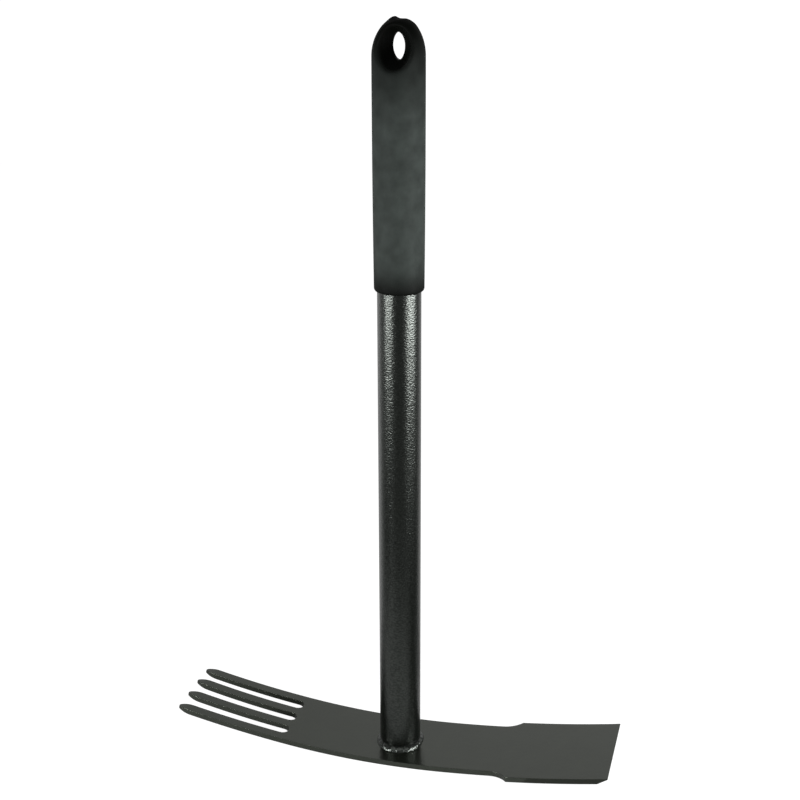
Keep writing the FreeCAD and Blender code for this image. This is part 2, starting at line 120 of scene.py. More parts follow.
# How finely the outline and its curves are divided.
OUTLINE_STEP = 3 * MM
FLANK_STEPS, NOSE_STEPS = 8, 10
SHOULDER_STEPS, ROOT_STEPS = 10, 12
ROUND_STEPS = 3
MITRE_LIMIT = 0.5

# Columns of points inside the plate's faces let them bend. They are longer from WIDE_START on.
COLUMN_STEP, COLUMN_POINTS, COLUMN_MARGIN = 3.5 * MM, 16, 2 * MM
WIDE_START = SHOULDER_START + 14 * MM
PLAN_TOLERANCE, MERGE_DISTANCE = 1e-7, 1e-6


def bend_centres():
    """(x it starts at, centre, radius) of each arc of the head's top face, from the tines on."""
    middle = Vector((0, MIDDLE_BEND))
    arcs = []
    for seam_x, radius in ((TINE_BEND_START, TINE_BEND), (BLADE_BEND_START, BLADE_BEND)):
        seam = Vector((seam_x, MIDDLE_BEND - math.sqrt(MIDDLE_BEND**2 - seam_x**2)))
        arcs.append((seam + (middle - seam) * radius / MIDDLE_BEND, radius))
    return arcs


TINE_ARC, BLADE_ARC = bend_centres()


def head_surface(x):
    """Height and slope angle of the head's top face at x."""
    if x < TINE_BEND_START:
        centre, radius = TINE_ARC
    elif x > BLADE_BEND_START:
        centre, radius = BLADE_ARC
    else:
        centre, radius = Vector((0, MIDDLE_BEND)), MIDDLE_BEND
    across = x - centre.x
    return centre.y - math.sqrt(radius**2 - across**2), math.asin(across / radius)


# The ends of the top face: the blade's edge leans out below it, and the tines' ends do too.
BLADE_TOP_END = BLADE_END - EDGE_LAND * math.sin(head_surface(BLADE_END)[1])
TINE_TOP_END = TINE_END + THICKNESS * math.sin(-head_surface(TINE_END)[1])
BEVEL_START = BLADE_TOP_END - BEVEL_LENGTH
FLANK_START = TINE_TOP_END + TIP_LENGTH


def tine_lift(x, y):
    """How far a tine has sprung up or down from the bend, more towards its tip."""
    tine = round((NECK_HALF - TINE_WIDTH / 2 - y) / TINE_PITCH)
    along = max(0, (x - SLOT_ROOT) / (TINE_END - SLOT_ROOT))
    return TINE_LIFT[min(max(tine, 0), TINE_COUNT - 1)] * along**2


def head_point(x, y, depth):
    """A point of the plate, depth below its top face."""
    z, slope = head_surface(x)
    lift = tine_lift(x, y)
    skew = EDGE_SKEW * max(0, (x - SHOULDER_START) / (BLADE_END - SHOULDER_START))
    shift = skew * (0.5 - y / BLADE_HALF / 2)
    return Vector((x - shift + depth * math.sin(slope), y, z + lift - depth * math.cos(slope)))


def depth_in_plate(x, depth):
    """Depth below the top face once the bevel and the rounded tine tips have thinned the plate."""
    bevel = min(1, max(0, (BLADE_TOP_END - x) / BEVEL_LENGTH))
    depth *= (EDGE_LAND + (THICKNESS - EDGE_LAND) * bevel) / THICKNESS
    taper = 1 - min(1, max(0, (x - TINE_TOP_END) / TIP_TAPER))
    thin = 1 - (1 - TIP_THICKNESS) * taper**2
    return THICKNESS / 2 + (depth - THICKNESS / 2) * thin


def straight(a, b):
    """Points from a to b, without b."""
    a, b = Vector(a), Vector(b)
    count = max(1, round((b - a).length / OUTLINE_STEP))
    return [a.lerp(b, i / count) for i in range(count)]


def arc(centre, radius, start, end, count):
    """Points on an arc, angles in radians, without its last point."""
    return [
        Vector((centre[0] + radius * math.cos(t), centre[1] + radius * math.sin(t)))
        for t in np.linspace(start, end, count, endpoint=False)
    ]


def tine_tip(middle):
    """The outline of a tine's pointed tip, from its +Y side round to its -Y side."""
    half = TINE_WIDTH / 2
    nose_x = TINE_TOP_END + TIP_NOSE
    flank = ((TIP_LENGTH - TIP_NOSE) ** 2 / (half - TIP_NOSE) + TIP_NOSE + half) / 2
    drop = flank - half
    touch = math.atan2(drop, nose_x - FLANK_START)
    back = 2 * math.pi - touch
    points = arc((FLANK_START, middle - drop), flank, math.pi / 2, touch, FLANK_STEPS)
    points += arc((nose_x, middle), TIP_NOSE, touch, back, NOSE_STEPS)
    points += arc((FLANK_START, middle + drop), flank, back, 1.5 * math.pi, FLANK_STEPS)
    return points


def head_outline():
    """The plate's outline in plan, anticlockwise from the blade's -Y corner."""
    rise = BLADE_HALF - NECK_HALF
    sweep = math.acos(1 - rise / SHOULDER_RADIUS)
    corner_x = SHOULDER_START + SHOULDER_RADIUS * math.sin(sweep)
    centre_y = NECK_HALF + SHOULDER_RADIUS
    quarter = math.pi / 2
    half = TINE_WIDTH / 2
    slot_half = (TINE_PITCH - TINE_WIDTH) / 2
    root_x = SLOT_ROOT - slot_half

    points = straight((BLADE_TOP_END, -BLADE_HALF), (BLADE_TOP_END, BLADE_HALF))
    points += straight((BLADE_TOP_END, BLADE_HALF), (BEVEL_START, BLADE_HALF))
    points += straight((BEVEL_START, BLADE_HALF), (corner_x, BLADE_HALF))
    points += arc((SHOULDER_START, centre_y), SHOULDER_RADIUS,
                  sweep - quarter, -quarter, SHOULDER_STEPS)
    points += straight((SHOULDER_START, NECK_HALF), (FLANK_START, NECK_HALF))
    for i in range(TINE_COUNT):
        middle = NECK_HALF - half - i * TINE_PITCH
        points += tine_tip(middle)
        if i == TINE_COUNT - 1:
            break
        here, beyond = middle - half, middle + half - TINE_PITCH
        points += straight((FLANK_START, here), (root_x, here))
        points += arc((root_x, middle - TINE_PITCH / 2), slot_half, quarter, -quarter, ROOT_STEPS)
        points += straight((root_x, beyond), (FLANK_START, beyond))
    points += straight((FLANK_START, -NECK_HALF), (SHOULDER_START, -NECK_HALF))
    points += arc((SHOULDER_START, -centre_y), SHOULDER_RADIUS,
                  quarter, quarter - sweep, SHOULDER_STEPS)
    points += straight((corner_x, -BLADE_HALF), (BEVEL_START, -BLADE_HALF))
    points += straight((BEVEL_START, -BLADE_HALF), (BLADE_TOP_END, -BLADE_HALF))
    return points


def inset(points, distance):
    """The outline moved inwards, with mitred corners."""
    moved = []
    for i, here in enumerate(points):
        before = (here - points[i - 1]).normalized()
        after = (points[(i + 1) % len(points)] - here).normalized()
        normals = [Vector((-d.y, d.x)) for d in (before, after)]
        both = normals[0] + normals[1]
        moved.append(here + both * (distance / max(MITRE_LIMIT, both.dot(normals[0]))))
    return moved


def fill_plate(outline):
    """A triangle mesh of the plate's face in plan, with inner points so that it can bend."""
    count = len(outline)
    columns = np.arange(SLOT_ROOT + COLUMN_MARGIN, BEVEL_START - COLUMN_MARGIN, COLUMN_STEP)
    inner = []
    for x in (*columns, BEVEL_START):
        half = (BLADE_HALF if x > WIDE_START else NECK_HALF) - COLUMN_MARGIN
        inner += [Vector((x, y)) for y in np.linspace(-half, half, COLUMN_POINTS)]
    edges = [(i, (i + 1) % count) for i in range(count)]
    inside_only = 1
    verts, _, faces, *_ = delaunay_2d_cdt(outline + inner, edges, [], inside_only, PLAN_TOLERANCE)
    return verts, faces


def make_head(material):
    """The bent plate, its edges rounded over by rings of the outline, each further in."""
    outline = head_outline()
    turns = [math.pi / 2 * i / ROUND_STEPS for i in range(ROUND_STEPS + 1)]
    upper = [(EDGE_ROUND * (1 - math.sin(t)), EDGE_ROUND * (1 - math.cos(t))) for t in turns]
    lower = [(distance, THICKNESS - depth) for distance, depth in reversed(upper)]
    verts, rings = [], []

    def add(point, depth):
        verts.append(head_point(point.x, point.y, depth_in_plate(point.x, depth)))
        return len(verts) - 1

    for distance, depth in upper + lower:
        rings.append([add(p, depth) for p in inset(outline, distance)])
    faces = [tuple(reversed(f)) for f in closed_rings(rings)]
    plan, triangles = fill_plate(inset(outline, EDGE_ROUND))
    for depth, flip in ((0, False), (THICKNESS, True)):
        ids = [add(p, depth) for p in plan]
        faces += [tuple(ids[i] for i in (reversed(t) if flip else t)) for t in triangles]
    piece = make_object("head", verts, faces)
    clean = bmesh.new()
    clean.from_mesh(piece.data)
    bmesh.ops.remove_doubles(clean, verts=clean.verts, dist=MERGE_DISTANCE)
    bmesh.ops.recalc_face_normals(clean, faces=clean.faces)
    clean.to_mesh(piece.data)
    clean.free()
    piece.modifiers.new("even_shading", "WEIGHTED_NORMAL")
    stand_for(piece, "head_plate", material)


# --- Handle tube ----------------------------------------------------------------------------

TUBE_WALL = 1.5 * MM
TUBE_SIDES, TUBE_LEVELS = 128, 80


def make_tube(material):
    """The tube's outside, inside and both ends, its foot following the bend of the head."""
    levels = np.linspace(0, TUBE_LENGTH, TUBE_LEVELS)
    outside, inside = (TUBE_RADIUS, levels), (TUBE_RADIUS - TUBE_WALL, levels[::-1])
    rings, verts = [], []
    for radius, heights in (outside, inside):
        for height in heights:
            ring = []
            for t in np.linspace(0, 2 * math.pi, TUBE_SIDES, endpoint=False):
                x, y = radius * math.cos(t), radius * math.sin(t)
                foot = head_surface(x)[0]
                ring.append(len(verts))
                verts.append((x, y, max(height, foot)))
            rings.append(ring)
    piece = make_object("tube", verts, closed_rings(rings + rings[:1]))
    stand_for(piece, "handle_tube", material)


# --- Weld -----------------------------------------------------------------------------------

# The bead's width beside the tube and in front of it, the power of the sine that leads from one
# to the other, its height, and how far it is let into the tube and the head.
WELD_SIDE, WELD_FRONT, WELD_SPREAD = 1.5 * MM, 3.2 * MM, 0.7
WELD_HEIGHT, WELD_SINK = 2.5 * MM, 0.05 * MM

# Its puddles: how many, how unevenly they follow each other, and how full and ridged they are.
WELD_PUDDLES, PUDDLE_DRIFT, PUDDLE_SHARPNESS = 17, 0.18, 0.6
WELD_SWELL, PUDDLE_RIDGE = 0.25 * MM, 0.35 * MM

# Slow wander of its width and height: the share, the waves round the tube, and the noise's place.
WIDTH_WANDER, WIDTH_WAVES, WIDTH_PLACE = 0.08, 2.2, 0.3
HEIGHT_WANDER, HEIGHT_WAVES, HEIGHT_PLACE = 0.14, 2, 4
WELD_SIDES, WELD_ROWS = 252, 12


def wander(t, waves, place):
    """Smooth noise round the tube, between about -1 and 1."""
    return noise.noise(Vector((math.cos(t), math.sin(t), place)) * waves)


def make_weld(material):
    """A bead laid round the tube's foot in puddles, wider at its front and back."""
    rings, verts = [], []
    for row in range(WELD_ROWS + 1):
        along = row / WELD_ROWS
        angle = along * math.pi / 2
        ring = []
        for t in np.linspace(0, 2 * math.pi, WELD_SIDES, endpoint=False):
            puddle = (t * WELD_PUDDLES / (2 * math.pi) + PUDDLE_DRIFT * math.sin(3 * t)) % 1
            ridge = math.sin(math.pi * puddle) ** PUDDLE_SHARPNESS
            swell = math.sin(math.pi * along) * (WELD_SWELL + PUDDLE_RIDGE * ridge)
            width = WELD_SIDE + (WELD_FRONT - WELD_SIDE) * abs(math.sin(t)) ** WELD_SPREAD
            width *= 1 + WIDTH_WANDER * wander(t, WIDTH_WAVES, WIDTH_PLACE)
            height = WELD_HEIGHT * (1 + HEIGHT_WANDER * wander(t, HEIGHT_WAVES, HEIGHT_PLACE))
            radius = TUBE_RADIUS - WELD_SINK + width * (1 - along) + swell * math.cos(angle)
            up = height * along + swell * math.sin(angle) - WELD_SINK
            x, y = radius * math.cos(t), radius * math.sin(t)
            ring.append(len(verts))
            verts.append((x, y, head_surface(x)[0] + up))
        rings.append(ring)
    piece = make_object("weld", verts, closed_rings(rings))
    stand_for(piece, "weld_bead", material)


# --- Grip -----------------------------------------------------------------------------------

GRIP_START = GRIP_LOW.z - ORIGIN.z
GRIP_TOP = GRIP_HIGH.z - ORIGIN.z

# The sleeve's outline: its lower rim, the radius of its slightly barrelled side, its shoulder
# and the crown above. A _BLEND is how far two surfaces are rounded into each other.
GRIP_LOW_RADIUS, GRIP_LOW_ROUND = 14.45 * MM, 1.8 * MM
RIM_BLEND, BORE_BLEND = 1.2 * GRIP_LOW_ROUND, 0.4 * MM
GRIP_BULGE = 12.0
SHOULDER_Z, SHOULDER_R, SHOULDER_CURVE = 424.7 * MM, 14.78 * MM, 27.5 * MM

# The scoop in each face, the web between the two, and the hang hole through it.
SCOOP_Z = 430.2 * MM
SCOOP_SIZE = np.array((10.4, 13.0, 12.4)) * MM
SCOOP_WEB, SCOOP_BLEND = 1.5 * MM, 2.6 * MM
HOLE_Z = 430.15 * MM
HOLE_HALF = np.array((3.3, 7.3)) * MM
HOLE_SHIFT, HOLE_TILT, HOLE_EGG = 0.4 * MM, 0.12 * MM, 0.03
HOLE_BLEND = 1.2 * MM

# The moulding's irregularities: the dome's sag and lean, a nub and a dimple.
DOME_SAG, DOME_LEAN, DOME_REACH = 0.92 * MM, 0.77 * MM, 1.2
NUB_PLACE = np.array((-1.9, 0, 438.6)) * MM
NUB_SIZE, NUB_BLEND = np.array((4.14, 4.14, 6.4)) * MM, 3.5 * MM
DIMPLE_PLACE = np.array((-0.3, 0, 445.07)) * MM
DIMPLE_SIZE, DIMPLE_BLEND = np.array((4.25, 4.25, 2.06)) * MM, 0.5 * MM

# The grid that its skin is first drawn on: fine at the rim and the scoops, coarse between.
GRID_REACH, GRID_COLUMNS = 16 * MM, 57
GRID_BOTTOM, GRID_TOP = GRIP_START - 1 * MM, GRIP_TOP + 1.5 * MM
RIM_TOP, SCOOP_BOTTOM = GRIP_START + 3 * MM, SCOOP_Z - 26 * MM
RIM_STEP, SIDE_STEP, SCOOP_STEP = 0.5 * MM, 3 * MM, 0.55 * MM

# Each of its points is then moved on to the true surface, by no more than a limit each round.
SETTLE_ROUNDS, SETTLE_PROBE, SETTLE_LIMIT = 4, 0.01 * MM, 0.3 * MM
TINY = 1e-6


def smooth_max(a, b, blend):
    """The larger of two distances, rounded over where they are close."""
    mix = np.clip(0.5 + 0.5 * (a - b) / blend, 0, 1)
    return b + (a - b) * mix + blend * mix * (1 - mix)


def ball(p, centre, size):
    """Roughly the distance from an ellipsoid's skin, below zero inside it."""
    return (np.linalg.norm((p - centre) / size, axis=-1) - 1) * size[2]


def grip_profile():
    """Centre and radius of the side, shoulder and crown arcs, in (radius, height)."""
    start = np.array((GRIP_LOW_RADIUS, GRIP_START + GRIP_LOW_ROUND))
    end = np.array((SHOULDER_R, SHOULDER_Z))
    chord = end - start
    half = np.linalg.norm(chord) / 2
    left = np.array((-chord[1], chord[0])) / (2 * half)
    side = (start + end) / 2 + left * math.sqrt(GRIP_BULGE**2 - half**2)
    shoulder = end + (side - end) / GRIP_BULGE * SHOULDER_CURVE
    drop = shoulder[1] - GRIP_TOP
    crown_r = (SHOULDER_CURVE**2 - shoulder[0] ** 2 - drop**2) / (2 * (drop + SHOULDER_CURVE))
    return side, shoulder, np.array((0, GRIP_TOP - crown_r)), crown_r


def grip_distance(p):
    """Roughly the distance from the grip's skin, below zero inside it."""
    x, y, z = p[..., 0], p[..., 1], p[..., 2]
    radius = np.hypot(x, y)
    side, shoulder, crown, crown_r = grip_profile()
    dome = np.clip((z - SHOULDER_Z) / (GRIP_TOP - SHOULDER_Z), 0, DOME_REACH) ** 2
    leaning = np.hypot(x - DOME_LEAN * dome, y)
    flat = np.stack([leaning, z + DOME_SAG * dome**2], -1)
    to_side = np.linalg.norm(flat - side, axis=-1) - GRIP_BULGE
    to_shoulder = np.linalg.norm(flat - shoulder, axis=-1) - SHOULDER_CURVE
    to_crown = np.linalg.norm(flat - crown, axis=-1) - crown_r
    turn = crown - shoulder
    past_shoulder = turn[0] * (flat[..., 1] - shoulder[1]) - turn[1] * (leaning - shoulder[0]) > 0
    body = np.where(z < SHOULDER_Z, to_side, np.where(past_shoulder, to_crown, to_shoulder))
    body = smooth_max(body, GRIP_START - z, RIM_BLEND)
    body = smooth_max(body, -ball(p, DIMPLE_PLACE, DIMPLE_SIZE), DIMPLE_BLEND)
    body = -smooth_max(-body, -ball(p, NUB_PLACE, NUB_SIZE), NUB_BLEND)
    for way in (-1, 1):
        centre = np.array((0, way * (SCOOP_SIZE[1] + SCOOP_WEB / 2), SCOOP_Z))
        body = smooth_max(body, -ball(p, centre, SCOOP_SIZE), SCOOP_BLEND)
    up = (z - HOLE_Z) / HOLE_HALF[1]
    wide = HOLE_HALF[0] * (1 + HOLE_EGG * np.clip(up, -1, 1))
    hole = (np.hypot((x - HOLE_SHIFT + HOLE_TILT * up) / wide, up) - 1) * HOLE_HALF[0]
    body = smooth_max(body, -hole, HOLE_BLEND)
    bore = np.maximum(radius - TUBE_RADIUS, z - TUBE_LENGTH)
    return smooth_max(body, -bore, BORE_BLEND)


def skin(distance, axes):
    """Surface nets: one vertex in each grid cell that the surface crosses, and quads between."""
    grid = np.stack(np.meshgrid(*axes, indexing="ij"), -1)
    value = distance(grid)
    inside = value < 0
    cells = tuple(n - 1 for n in value.shape)
    total, count = np.zeros(cells + (3,)), np.zeros(cells)

    def part(array, offset):
        return array[tuple(slice(o, o + n) for o, n in zip(offset, cells))]

    corners = [(i, j, k) for i in (0, 1) for j in (0, 1) for k in (0, 1)]
    for a in corners:
        for axis in range(3):
            if a[axis]:
                continue
            b = tuple(a[i] + (i == axis) for i in range(3))
            va, vb = part(value, a), part(value, b)
            crossed = part(inside, a) != part(inside, b)
            t = np.where(crossed, va / np.where(va == vb, 1, va - vb), 0)[..., None]
            total += np.where(crossed[..., None], part(grid, a) * (1 - t) + part(grid, b) * t, 0)
            count += crossed
    used = count > 0
    index = np.full(cells, -1)
    index[used] = np.arange(used.sum())
    verts = total[used] / count[used][:, None]
    faces = []
    for axis in range(3):
        u, v = (axis + 1) % 3, (axis + 2) % 3
        lower = [slice(None)] * 3
        upper = [slice(None)] * 3
        lower[axis], upper[axis] = slice(None, -1), slice(1, None)
        here, there = inside[tuple(lower)], inside[tuple(upper)]
        for found, flip in ((here & ~there, False), (~here & there, True)):
            at = np.argwhere(found)
            at = at[(at[:, u] > 0) & (at[:, v] > 0)]
            quad = []
            for du, dv in ((1, 1), (0, 1), (0, 0), (1, 0)):
                cell = at.copy()
                cell[:, u] -= du
                cell[:, v] -= dv
                quad.append(index[tuple(cell.T)])
            quad = np.stack(quad, -1)
            faces.append(quad[:, ::-1] if flip else quad)
    return verts, np.concatenate(faces)


def settle(verts, distance):
    """Moves each vertex on to the surface, along the distance's slope."""
    for _ in range(SETTLE_ROUNDS):
        slope = np.stack([
            (distance(verts + probe) - distance(verts - probe)) / (2 * SETTLE_PROBE)
            for probe in SETTLE_PROBE * np.eye(3)], -1)
        step = distance(verts) / np.maximum(TINY, (slope**2).sum(-1))
        verts = verts - np.clip(step, -SETTLE_LIMIT, SETTLE_LIMIT)[:, None] * slope
    return verts


def make_grip(material):
    """The moulded sleeve, bored for the tube."""
    across = np.linspace(-GRID_REACH, GRID_REACH, GRID_COLUMNS)
    heights = np.concatenate([
        np.arange(GRID_BOTTOM, RIM_TOP, RIM_STEP),
        np.arange(RIM_TOP, SCOOP_BOTTOM, SIDE_STEP),
        np.arange(SCOOP_BOTTOM, GRID_TOP, SCOOP_STEP)])
    verts, faces = skin(grip_distance, (across, across, heights))
    verts = settle(verts, grip_distance)
    piece = make_object("grip_sleeve", verts, faces.tolist())
    stand_for(piece, "grip", material)


# --- Materials ------------------------------------------------------------------------------

# Linear colours, low because the studio's lights are strong.
SATIN_TINTS = ((0.0015, 0.0018, 0.0013), (0.0028, 0.0033, 0.0024))
# The grip's first tint is what its painted shade and its darker bottom fade to, the second its
# dust.
RUBBER_TINTS = ((0.0005, 0.0007, 0.0004), (0.0210, 0.0251, 0.0231))
# Below about 0.275 the render's denoiser smears the speckle that the hammered paint's pits make.
HAMMERED_ROUGHNESS = 0.28
# The share of the grip's dust that comes and goes, how far up and down its darker ends reach,
# the top one painted shade, and the distances from the axis between which the painted shade
# in its scoops and on its crown gives way to dust.
MOTTLE = 0.55
DARK_PAST, DARK_LOW, SHADE_TOP = 2 * MM, 22 * MM, 70 * MM
SHADE_WITHIN, UNSHADED_BEYOND = 10 * MM, 13.5 * MM


def new_material(name, colour, roughness, specular=0.5, specular_tint=(1, 1, 1)):
    """A material of one shader, whose plain values the functions below can drive."""
    material = bpy.data.materials.new(name)
    material.use_nodes = True
    shader = material.node_tree.nodes["Principled BSDF"]
    shader.inputs["Base Color"].default_value = (*colour, 1)
    shader.inputs["Roughness"].default_value = roughness
    shader.inputs["Specular IOR Level"].default_value = specular
    shader.inputs["Specular Tint"].default_value = (*specular_tint, 1)
    return material


def add_noise(material, feature, detail=2.0, height=None):
    """A noise texture whose features are about this many metres across, and this many high."""
    tree = material.node_tree
    place = tree.nodes.new("ShaderNodeTexCoord")
    squash = tree.nodes.new("ShaderNodeVectorMath")
    squash.operation = "MULTIPLY"
    squash.inputs[1].default_value = (1, 1, feature / (height or feature))
    texture = tree.nodes.new("ShaderNodeTexNoise")
    texture.inputs["Scale"].default_value = 1 / feature
    texture.inputs["Detail"].default_value = detail
    tree.links.new(place.outputs["Object"], squash.inputs[0])
    tree.links.new(squash.outputs["Vector"], texture.inputs["Vector"])
    return texture.outputs["Fac"]


def add_bump(material, height, relief):
    """Raises the surface by up to relief metres where height is one."""
    tree = material.node_tree
    shader = tree.nodes["Principled BSDF"]
    bump = tree.nodes.new("ShaderNodeBump")
    bump.inputs["Strength"].default_value = 1
    bump.inputs["Distance"].default_value = relief
    tree.links.new(height, bump.inputs["Height"])
    for link in list(shader.inputs["Normal"].links):
        tree.links.new(link.from_socket, bump.inputs["Normal"])
    tree.links.new(bump.outputs["Normal"], shader.inputs["Normal"])


def vary(material, socket, factor, low, high, start=0.3, end=0.7):
    """Drives a number or a grey colour of the shader between two values by a factor."""
    tree = material.node_tree
    ramp = tree.nodes.new("ShaderNodeMapRange")
    ramp.inputs["From Min"].default_value = start
    ramp.inputs["From Max"].default_value = end
    ramp.inputs["To Min"].default_value = low
    ramp.inputs["To Max"].default_value = high
    tree.links.new(factor, ramp.inputs["Value"])
    tree.links.new(ramp.outputs["Result"], tree.nodes["Principled BSDF"].inputs[socket])


def tint(material, factor, low, high, start=0.3, end=0.7):
    """Drives the base colour between two colours by a factor."""
    tree = material.node_tree
    ramp = tree.nodes.new("ShaderNodeValToRGB")
    ramp.color_ramp.elements[0].position = start
    ramp.color_ramp.elements[0].color = (*low, 1)
    ramp.color_ramp.elements[1].position = end
    ramp.color_ramp.elements[1].color = (*high, 1)
    tree.links.new(factor, ramp.inputs["Fac"])
    tree.links.new(ramp.outputs["Color"], tree.nodes["Principled BSDF"].inputs["Base Color"])


def satin_paint():
    """Satin black paint with a fine grain, as on the head."""
    material = new_material("head_satin_paint", (0.008, 0.009, 0.008), roughness=0.2,
                            specular=0.56, specular_tint=(0.91, 1, 0.85))
    tint(material, add_noise(material, 9 * MM), *SATIN_TINTS)
    vary(material, "Roughness", add_noise(material, 5 * MM, detail=3), low=0.17, high=0.23)
    add_bump(material, add_noise(material, 2.6 * MM, detail=1), relief=0.05 * MM)
    add_bump(material, add_noise(material, 1.0 * MM, detail=3), relief=0.04 * MM)
    return material


def hammered_paint(name, shine, pit_width, pit_height, relief):
    """Glossy black paint with a hammered surface, its pits this wide, this tall and this deep."""
    colour, reflected = (0.0015, 0.0018, 0.0015), (0.92, 1, 0.93)
    material = new_material(name, colour, HAMMERED_ROUGHNESS, shine, reflected)
    pits = add_noise(material, pit_width, detail=0.5, height=pit_height)
    add_bump(material, pits, relief)
    vary(material, "Specular IOR Level", pits, low=0.7 * shine, high=1.3 * shine)
    return material


def height_fade(material, start, end):
    """A factor that runs from 0 to 1 between two heights above the floor."""
    tree = material.node_tree
    place = tree.nodes.new("ShaderNodeTexCoord")
    parts = tree.nodes.new("ShaderNodeSeparateXYZ")
    fade = tree.nodes.new("ShaderNodeMapRange")
    fade.interpolation_type = "SMOOTHSTEP"
    fade.inputs["From Min"].default_value = start
    fade.inputs["From Max"].default_value = end
    tree.links.new(place.outputs["Object"], parts.inputs["Vector"])
    tree.links.new(parts.outputs["Z"], fade.inputs["Value"])
    return fade.outputs["Result"]


def radius_fade(material, start, end):
    """A factor that runs from 0 to 1 between two distances from the handle's axis."""
    tree = material.node_tree
    place = tree.nodes.new("ShaderNodeTexCoord")
    flat = tree.nodes.new("ShaderNodeVectorMath")
    flat.operation = "MULTIPLY_ADD"
    flat.inputs[1].default_value = (1, 1, 0)
    flat.inputs[2].default_value = (-ORIGIN.x, -ORIGIN.y, 0)
    length = tree.nodes.new("ShaderNodeVectorMath")
    length.operation = "LENGTH"
    fade = tree.nodes.new("ShaderNodeMapRange")
    fade.inputs["From Min"].default_value = start
    fade.inputs["From Max"].default_value = end
    tree.links.new(place.outputs["Object"], flat.inputs[0])
    tree.links.new(flat.outputs["Vector"], length.inputs[0])
    tree.links.new(length.outputs["Value"], fade.inputs["Value"])
    return fade.outputs["Result"]


def combine(material, operation, first, second):
    """One factor from two, or from a factor and a number."""
    tree = material.node_tree
    node = tree.nodes.new("ShaderNodeMath")
    node.operation = operation
    for socket, value in zip(node.inputs, (first, second)):
        if isinstance(value, (int, float)):
            socket.default_value = value
        else:
            tree.links.new(value, socket)
    return node.outputs["Value"]


def moulded_rubber():
    """Matte black rubber, dusty grey and mottled, but darker at its ends: painted shade at its
    top and in its scoops, and darker towards its bottom.
    """
    material = new_material("grip_moulded_rubber", (0.01, 0.011, 0.011), roughness=0.65,
                            specular=0.04)
    # Painted shade: the top end, the crown and the scoops are held dark; the bottom end is darker
    # too.
    fade_in = height_fade(material, GRIP_LOW.z - DARK_PAST, GRIP_LOW.z + DARK_LOW)
    fade_out = height_fade(material, GRIP_HIGH.z - DARK_PAST, GRIP_HIGH.z - SHADE_TOP)
    outer = radius_fade(material, SHADE_WITHIN, UNSHADED_BEYOND)
    middle = combine(material, "MULTIPLY", fade_in, fade_out)
    middle = combine(material, "MULTIPLY", middle, outer)
    mottle = combine(material, "MULTIPLY", add_noise(material, 8 * MM, detail=3), MOTTLE)
    mottle = combine(material, "ADD", mottle, (1 - MOTTLE) / 2)
    # Where this mask is low the rubber keeps its dark tint: painted shade at the top, crown and
    # scoops.
    dust_and_shade = combine(material, "MULTIPLY", middle, mottle)
    tint(material, dust_and_shade, *RUBBER_TINTS, start=0, end=0.6)
    vary(material, "Roughness", add_noise(material, 6 * MM, detail=3), low=0.6, high=0.72)
    add_bump(material, add_noise(material, 0.7 * MM, detail=2), relief=0.03 * MM)
    return material


# --- Studio ---------------------------------------------------------------------------------

# The camera as solved from the photo: focal length in pixels of an image 800 wide, angles in
# degrees, and the point on the handle's axis that it looks towards, but for a small sidestep.
IMAGE_WIDTH, SENSOR_WIDTH = 800, 36
CAMERA_FOCAL = 1412.9
CAMERA_AZIMUTH, CAMERA_ELEVATION, CAMERA_ROLL = 14.925, 18.974, -0.14
CAMERA_DISTANCE = 826.34 * MM
CAMERA_AIM = Vector((0, 0, 228.36 * MM))
CAMERA_SIDESTEP = 0.308 * MM

# Each zone of the world: azimuth and elevation of its middle, the cosines between which it fades
# in, and its radiance. They are backdrop, base, overhead patch, patch below in front, left patch.
WORLD_ZONES = (
    ((180, -5), 0.2, 0.65, 0.75),
    ((0, 90), -1.5, -1.0, 0.03),
    ((-10, 66), 0.84, 0.97, 1.72),
    ((0, -17), 0.55, 0.85, 0.2),
    ((-112, -8), 0.80, 0.96, 0.55),
)

# The room, in metres: a flat floor, a cove and a wall. Its glow keeps the background even.
FLOOR_RADIUS, COVE_RADIUS, WALL_TOP = 2.4, 2.4, 6.0
ROOM_SIDES, COVE_STEPS = 96, 12
PAPER_GLOW, PAPER_ALBEDO, PAPER_ROUGHNESS = 0.985, 0.08, 0.9

# Cards just off the floor: name, left and right edge as the camera sees them, albedo.
# The second card is painted shade: a darker sheet for the floor in the tool's shade, seen in its
# reflections.
CARDS = (("light_card", -0.20, 0.07, 0.46), ("painted_shade_card", 0.07, 0.14, 0.22))
CARD_BEHIND, CARD_FRONT = -0.10, 0.19
CARD_GAP = 0.2 * MM

# Softboxes: name, azimuth, then distance, width and height, radiance, and height of lower edge.
SOFTBOXES = (
    ("softbox_left", -57, 0.56, 0.38, 0.112, 35.0, 0.163),
    ("softbox_right", 62, 0.56, 0.47, 0.12, 42.0, 0.155),
)


def make_camera():
    """The photo's viewpoint."""
    a, e, r = (math.radians(v) for v in (CAMERA_AZIMUTH, CAMERA_ELEVATION, CAMERA_ROLL))
    back = Vector((math.sin(a) * math.cos(e), -math.cos(a) * math.cos(e), math.sin(e)))
    level = Vector((math.cos(a), math.sin(a), 0))
    up = back.cross(level)
    right = math.cos(r) * level + math.sin(r) * up
    up = math.cos(r) * up - math.sin(r) * level
    data = bpy.data.cameras.new("camera")
    data.sensor_width = SENSOR_WIDTH
    data.lens = CAMERA_FOCAL / IMAGE_WIDTH * SENSOR_WIDTH
    data.clip_start, data.clip_end = 0.01, 50
    camera = bpy.data.objects.new("camera", data)
    camera.matrix_world = Matrix.Translation(
        ORIGIN + CAMERA_AIM + right * CAMERA_SIDESTEP + back * CAMERA_DISTANCE
    ) @ Matrix((right, up, back)).transposed().to_4x4()
    bpy.context.scene.collection.objects.link(camera)
    bpy.context.scene.camera = camera


